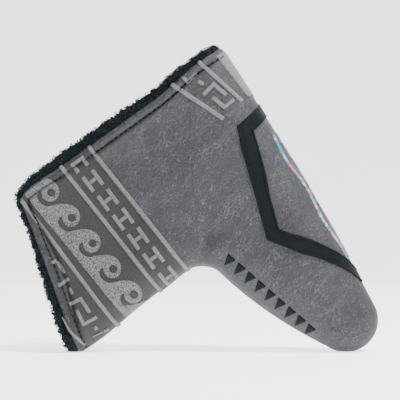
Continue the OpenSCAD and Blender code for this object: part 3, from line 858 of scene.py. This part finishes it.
def wave_frame(k):
    """Origin at the k-th eye, axes along the band and towards the head."""
    u = np.array([1, WAVE_SLOPE]) / math.hypot(1, WAVE_SLOPE)
    up = np.array([u[1], -u[0]])
    o = np.array(WAVE_EYE) + u * WAVE_PITCH * k
    return lambda p: o + u * p[0] + up * p[1]


def waves(parts, dim, place):
    """Running waves with round eyes, and the dimmer hollows under their crests."""
    def limit(s, d):
        return np.minimum(mouth_depth(s, d) - 0.1, seam_depth(s, d) - 0.3)

    outline = []
    for k in range(-1, 6):
        at = wave_frame(k)
        outline += [at(p) for p in CURL_TOP] + [at(p) for p in CURL_UNDER]
    last, first = wave_frame(5), wave_frame(-1)
    outline += [last((8, WAVE_FOOT)), first((-12, WAVE_FOOT))]
    eyes = []
    for k in range(-1, 6):
        at = wave_frame(k)
        eyes.append([at((EYE_R * math.cos(a), EYE_R * math.sin(a)))
                     for a in np.linspace(0, 2 * math.pi, 20)[:-1]])
    fill(parts, [outline] + eyes, place, h=0.65, limit=limit)
    fill(parts, [LAST_CREST], place, h=0.65, limit=limit)
    for k in range(-1, 6):
        at, after = wave_frame(k), wave_frame(k + 1)
        under = [at(p) for p in CURL_TOP[11:]] + [at(p) for p in CURL_UNDER]
        under += [after(p) for p in CURL_TOP[:4]]
        under += [after(p) for p in HOLLOW_BACK]
        fill(dim, [under], place, h=0.4, cell=0.45, limit=limit)
        fill(dim, [eyes[k + 1]], place, h=0.4, cell=0.45, limit=limit)


KEY_STROKES = [
    [(69.7, 136.0), (70.2, 129.4), (78.7, 128.9)], [(74.0, 134.0), (82.2, 134.6), (82.5, 126.9)],
    [(46.3, 133.2), (46.9, 130.2)], [(47.4, 130.2), (54.6, 130.0)],
    [(58.5, 136.2), (58.1, 129.4)], [(62.2, 131.9), (66.0, 131.8)],
    [(86.2, 130.5), (88.3, 130.4)], [(90.9, 128.2), (91.2, 125.2)]]
KEY_THIN = [(90.3, 134.6), (90.8, 128.6)]


def keys(parts, place):
    for stroke in KEY_STROKES:
        ribbon(parts, stroke, 2.2, place, h=0.85)
    ribbon(parts, KEY_THIN, 1.1, place)


def ground_under_keys(parts, place):
    """Darker stitching from the second line to the neck's end, under waves and keys."""
    def limit(s, d):
        return np.minimum(mouth_depth(s, d) - 0.5, seam_depth(s, d) - 0.3)

    loop = [band(LINE_2, -8), band(LINE_2, 100), (100.0, 150.0), (-8.0, 150.0)]
    fill(parts, [loop], place, h=0.2, cell=0.9, limit=limit)


LINE_4_W = [0.8, 1.8, 2.0]
LINE_4 = [(73.3, 142.3), (81.6, 142.5), (92.3, 139.9)]
HEEL_LINES = [((-0.6, 32.0), (28.3, 18.6)), ((-2.4, 14.4), (25.1, 5.6))]


def heel_figures(parts, place):
    for a, b in HEEL_LINES:
        start = (float(heel_s(a[1])), a[1])
        ribbon(parts, [start, b], [2.6, 2.6, 2.4], place, over=1)
    ribbon(parts, [(12.2, 21.3), (10.3, 13.9), (18.2, 11.2)], 2.3, place, h=0.8)
    ribbon(parts, [(15.8, 17.9), (23.1, 15.1), (22.3, 8.8)], 2.3, place, h=0.8)
    ribbon(parts, [(4.7, 20.1), (7.8, 18.4)], 2.2, place, h=0.8)
    s0 = float(heel_s(26.0))
    ribbon(parts, [(s0, 25.6), (2.4, 24.9), (0.9, 18.4)], 2.0, place)


# The six-sided border as it lies when the leather is flat: (s, arc from the sole's middle)
BORDER = [(34.2, 0.0), (34.2, 3.0), (38.1, 25.4), (92.2, 40.1), (116.2, 21.2), (133.8, 4.6),
          (133.8, 0.0)]
BORDER_W = 7.8


def border(parts, side):
    """One half of the border: a flat band with a raised cord along each edge."""
    path = np.array([(s, side * w) for s, w in BORDER])
    ribbon(parts, path, BORDER_W, wrap, h=0.5, step=2.0, lanes=10)
    n = offsets(path)
    for e in (-1, 1):
        edge = path + n * e * (BORDER_W / 2 - 0.75)
        ribbon(parts, edge, 1.3, wrap, h=0.85, step=1.5, lanes=4)


ROW_START, ROW_SLOPE, ROW_PITCH, ROW_COUNT = (92.5, 54.3), -0.33, 6.9, 9


def triangles(parts, place):
    """Row of pointed shapes that runs out towards the lower edge near the toe."""
    u = np.array([1, ROW_SLOPE]) / math.hypot(1, ROW_SLOPE)
    n = np.array([-u[1], u[0]])

    def limit(s, d):
        return seam_depth(s, d) - 0.5

    for k in range(ROW_COUNT):
        c = np.array(ROW_START) + u * ROW_PITCH * k
        fill(parts, [[c - u * 2.9 - n * 3.4, c + u * 2.9 - n * 3.4, c + n * 3.6]], place,
             h=0.45, cell=0.5, limit=limit)


def heel_patch(parts, side):
    """Filled wedge on the heel end of the sole, one half on each side."""
    loop = [(-2.6, 0.0), (-2.0, 16.5 * side), (24.5, 12.6 * side), (26.0, 0.0)]
    fill(parts, [loop], wrap, h=0.5)


SOLE_ROW = (48, 124)


def sole_waves(parts, w0, w1, phase):
    """One wavy coloured row inside the border, from offset w0 to w1."""
    s = np.arange(SOLE_ROW[0], SOLE_ROW[1] + 0.1, 1.5)
    q = (s - SOLE_ROW[0]) / (SOLE_ROW[1] - SOLE_ROW[0])
    path = np.stack([s, w0 + (w1 - w0) * q + 1.5 * np.sin(s * math.pi / 18 + phase)], -1)
    ribbon(parts, path, 2.8, wrap, h=0.55, step=1.5)


# ---- fleece ----


def hash3(p):
    """Repeatable noise from 0 to 1 at integer points."""
    h = np.sin(p @ np.array([127.1, 311.7, 74.7])) * 43758.5453
    return h - np.floor(h)


def value_noise(p, cell, seed=0.0):
    """Smooth noise from 0 to 1 of points p, with lumps about one cell wide."""
    q = np.asarray(p) / cell + seed
    i = np.floor(q)
    f = q - i
    f = f * f * (3 - 2 * f)
    total = 0.0
    for dx in (0, 1):
        for dy in (0, 1):
            for dz in (0, 1):
                wx = f[..., 0] if dx else 1 - f[..., 0]
                wy = f[..., 1] if dy else 1 - f[..., 1]
                wz = f[..., 2] if dz else 1 - f[..., 2]
                total = total + wx * wy * wz * hash3(i + np.array([dx, dy, dz]))
    return total


def grid_normals(p):
    a, b = np.gradient(p, axis=0), np.gradient(p, axis=1)
    n = np.cross(a, b)
    return n / np.maximum(np.linalg.norm(n, axis=-1, keepdims=True), 1e-12)


LINING_T = 5.8
LIP_REACH = 4.5  # how far the profile ROLL stands out
MIDDLE_GAP = 0.3 * MM  # the lip stays this far from the middle plane
LIP_CURLS, CURL_LENGTH = 3200, 2.3
# How far the lip stands out: (d, reach) beside the heel and (s, reach) at the neck's end
LIP_HEEL = [(0, 4.0), (20, 4.2), (42, 5.2), (75, 6.2), (102, 5.8), (120, 4.4), (128, 3.4)]
LIP_END = [(8, 3.4), (20, 2.9), (33, 3.4), (46, 4.2), (60, 5.2), (75, 5.6)]


PATCH_SIZE = 20.0
PATCH_MID = np.array([25.5, 110.5])


def pile(sd):
    """1 where the pile stands free, 0 under the closure patch."""
    gap = np.max(np.abs(sd - PATCH_MID), axis=-1) - PATCH_SIZE / 2
    return ease((gap - 0.5) / 3)


def lip_reach(sd):
    heel = np.interp(sd[:, 1], *zip(*LIP_HEEL))
    end = np.interp(sd[:, 0], *zip(*LIP_END))
    beside_heel = ease((end_d(sd[:, 0]) - sd[:, 1] - 2) / 6)
    return (end + (heel - end) * beside_heel) / LIP_REACH


ROLL = [(-5.0, 1.7), (-1.0, 1.7), (0.8, 1.1), (2.4, 0.9), (3.8, 1.6), (4.5, 3.0), (4.4, 4.4),
        (3.2, 5.6), (1.4, 6.0), (-1.0, 5.9), (-5.0, 5.8)]


def roll_rows(side, nv):
    """Rows of the fleece's rolled lip, from under the hem round to the inside."""
    v = spread(np.linspace(0, 1, nv), 0.35)
    prof = resample(ROLL, 0.75)
    rows = []
    for c, t in prof:
        edge = mouth_curve(v, t, 0.0)
        reach = c * (lip_reach(edge) if c > 0 else np.ones(nv))
        sd = edge + (mouth_curve(v, t, 1.0) - edge) * reach[:, None]
        room = half(sd[:, 0], sd[:, 1], 0.0) - 1.0
        depth = np.minimum(t, np.maximum(1.2, room))
        p = stand(sd[:, 0], sd[:, 1], side * np.maximum(0.0, half(sd[:, 0], sd[:, 1], depth)))
        p[0, 1] = 0
        p[-1, 1] = 0
        rows.append(p)
    return np.array(rows)


def curls(parts, roots, normals, count, length):
    """Loose curls of pile: short bent tapering tufts."""
    pick = rng.integers(0, len(roots), count)
    base, nrm = roots[pick], normals[pick]
    lean = rng.normal(size=(count, 3))
    lean -= nrm * np.sum(lean * nrm, 1)[:, None]
    lean /= np.linalg.norm(lean, axis=1)[:, None]
    side = np.cross(nrm, lean)
    size = length * rng.uniform(0.6, 1.15, count)[:, None] * MM
    steps = [(0.0, -0.3, 0.30), (0.35, 0.35, 0.34), (0.75, 0.55, 0.26), (1.0, 0.2, 0.10)]
    rings = []
    for along, up, r in steps:
        centre = base + lean * size * along * 0.9 + nrm * size * up * 0.8
        for a in (0, 2.09, 4.19):
            rings.append(centre + (side * math.cos(a) + nrm * math.sin(a)) * r * MM)
    verts = np.stack(rings, 1).reshape(-1, 3)
    verts[:, 2] = np.maximum(verts[:, 2], 0.1 * MM)
    ring = []
    for k in range(3):
        for j in range(3):
            a, b = k * 3 + j, k * 3 + (j + 1) % 3
            ring.append((a, b, b + 3, a + 3))
    ring.append((9, 10, 11))
    faces = [tuple(i + 12 * n for i in f) for n in range(count) for f in ring]
    parts.add(verts, faces)


def fleece(side):
    """Lining of one face: rolled lip at the mouth, then the inside down to the toe."""
    nv = 230
    lip = roll_rows(side, nv)
    n = grid_normals(lip) * side
    lump = value_noise(lip, 0.0026) * 0.6 + value_noise(lip, 0.0013, 5.0) * 0.4
    fade = np.sin(np.linspace(0.12, math.pi - 0.2, len(lip)))[:, None] ** 0.6
    pts = lip + n * ((lump - 0.45) * 2.2 * MM * fade)[..., None]
    crossed = side * pts[..., 1] < MIDDLE_GAP
    pts[..., 1] = np.where(crossed, side * MIDDLE_GAP, pts[..., 1])
    pts[:, 0, 1] = pts[:, -1, 1] = 0
    parts = Parts()
    parts.add(pts, grid_faces(*pts.shape[:2], flip=side == FRONT))
    inner = face_grid(LINING_T, -4.0, 60, 24, 80)
    q = stand(inner[..., 0], inner[..., 1],
              side * np.maximum(0, half(inner[..., 0], inner[..., 1], LINING_T)))
    m = -grid_normals(q) * side
    soft = value_noise(q, 0.0045) * 0.7 + value_noise(q, 0.002, 3.0) * 0.3
    q = q + m * ((soft - 0.3) * 1.3 * MM * pile(inner))[..., None]
    q[:, 0, 1] = q[:, -1, 1] = 0
    parts.add(q, grid_faces(*q.shape[:2], flip=side == BACK))
    body = slice(2, -2)
    curls(parts, pts[body, 3:-3].reshape(-1, 3), n[body, 3:-3].reshape(-1, 3),
          LIP_CURLS, CURL_LENGTH)
    return parts


# ---- closure patches ----


def patch(name, side, mat):
    """Square of woven tape with rounded corners, inside the leaf's closing corner."""
    a = np.linspace(0, 2 * math.pi, 72, endpoint=False)
    unit = np.stack([np.sign(np.cos(a)) * np.abs(np.cos(a)) ** 0.28,
                     np.sign(np.sin(a)) * np.abs(np.sin(a)) ** 0.28], -1)
    rows = []
    for q, t in ((1.0, -0.8), (1.0, 0.9), (0.97, 1.2), (0.7, 1.2), (0.35, 1.2), (0.01, 1.2)):
        p = PATCH_MID + unit * PATCH_SIZE / 2 * q
        rows.append(stand(p[:, 0], p[:, 1], side * (half(p[:, 0], p[:, 1], LINING_T) - t)))
    pts = np.array(rows)
    pts = np.concatenate([pts, pts[:, :1]], 1)
    parts = Parts()
    parts.add(pts, grid_faces(*pts.shape[:2], flip=side == BACK))
    return parts.build(name, mat)


# ---- build everything ----


def finish_piece(obj, side, slot, *nodes, bend=True):
    if bend:
        fold_bend(obj, side)
    else:
        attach(obj, "pocket")
    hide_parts(*nodes)
    return obj


def hem_path(m):
    """Path a distance m inside the mouth's edge, from the seam round to the sole."""
    v = np.linspace(0, 1, 400)
    return mouth_curve(v, 0.0, -m)


for side in (FRONT, BACK):
    n = SIDE_NAME[side]
    front = side == FRONT
    place = face_at(side)
    panel = leather_panel(side, M_LEATHER)
    finish_piece(panel, side, "leather", "pocket_leather", f"{n}_leaf_leather")

    lines = Stitching(front)
    for line in (LINE_1, LINE_2, LINE_3):
        ribbon(lines, band_path(line), LINE_W, place, over=1, lanes=8)
    ribbon(lines, LINE_4, LINE_4_W, place)
    finish_piece(lines.build(f"neck_lines_{n}", M_GREY), side, "grey_thread",
                 f"neck_lines_{n}", f"leaf_lines_{n}")

    ground = Stitching(front)
    ribbon(ground, band_path(H_GROUND, 0.4), H_GROUND_W, place, h=0.3, lanes=22, over=1)
    ground_under_keys(ground, place)
    h_row = Stitching(front)
    h_shapes(h_row, place)
    scroll = Stitching(front)
    waves(scroll, ground, place)
    finish_piece(ground.build(f"ground_stitch_{n}", M_DIM), side, "grey_thread")
    finish_piece(h_row.build(f"h_row_{n}", M_GREY), side, "grey_thread",
                 f"h_row_{n}", f"leaf_h_row_{n}")
    finish_piece(scroll.build(f"wave_scroll_{n}", M_FILL), side, "grey_thread",
                 f"wave_scroll_{n}", f"leaf_wave_scroll_{n}")
    key_row = Stitching(front)
    keys(key_row, place)
    finish_piece(key_row.build(f"key_row_{n}", M_GREY), side, "grey_thread",
                 f"key_row_{n}", f"leaf_key_row_{n}")
    heel = Stitching(front)
    heel_figures(heel, place)
    heel_patch(heel, side)
    finish_piece(heel.build(f"heel_figures_{n}", M_GREY), side, "grey_thread",
                 f"heel_lines_{n}", f"heel_keys_{n}", bend=False)

    frame_band = Stitching(front)
    border(frame_band, side)
    finish_piece(frame_band.build(f"border_{n}", M_BLACK), side, "dark_thread",
                 f"border_{n}", bend=False)
    row = Stitching(front)
    triangles(row, place)
    finish_piece(row.build(f"triangle_row_{n}", M_BLACK), side, "dark_thread",
                 f"triangle_row_{n}", bend=False)

    top = Stitching(front)
    stitches(top, hem_path(HEM_IN), place, base=0.45)
    finish_piece(top.build(f"topstitch_{n}", M_BLACK), side, "dark_thread",
                 f"{n}_leaf_topstitch", "pocket_topstitch")

    lining = fleece(side).build(f"fleece_{n}", M_FLEECE)
    finish_piece(lining, side, "fleece", "pocket_lining", "pocket_padding", f"{n}_leaf_lining")
    tape = patch("loop_patch" if front else "hook_patch", side, M_TAPE)
    finish_piece(tape, side, "closure_tape",
                 "front_leaf_loop_patch" if front else "back_leaf_hook_patch")

for k, (w0, w1, mat) in enumerate(((-12, -9, M_CYAN), (-4, -3, M_PINK), (4, 3, M_PINK),
                                   (12, 9, M_CYAN))):
    figure = Stitching(False)
    sole_waves(figure, w0, w1, 1.5 * k)
    obj = figure.build(f"sole_wave_{k + 1}", mat)
    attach(obj, "pocket")
    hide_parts("sole_figure")
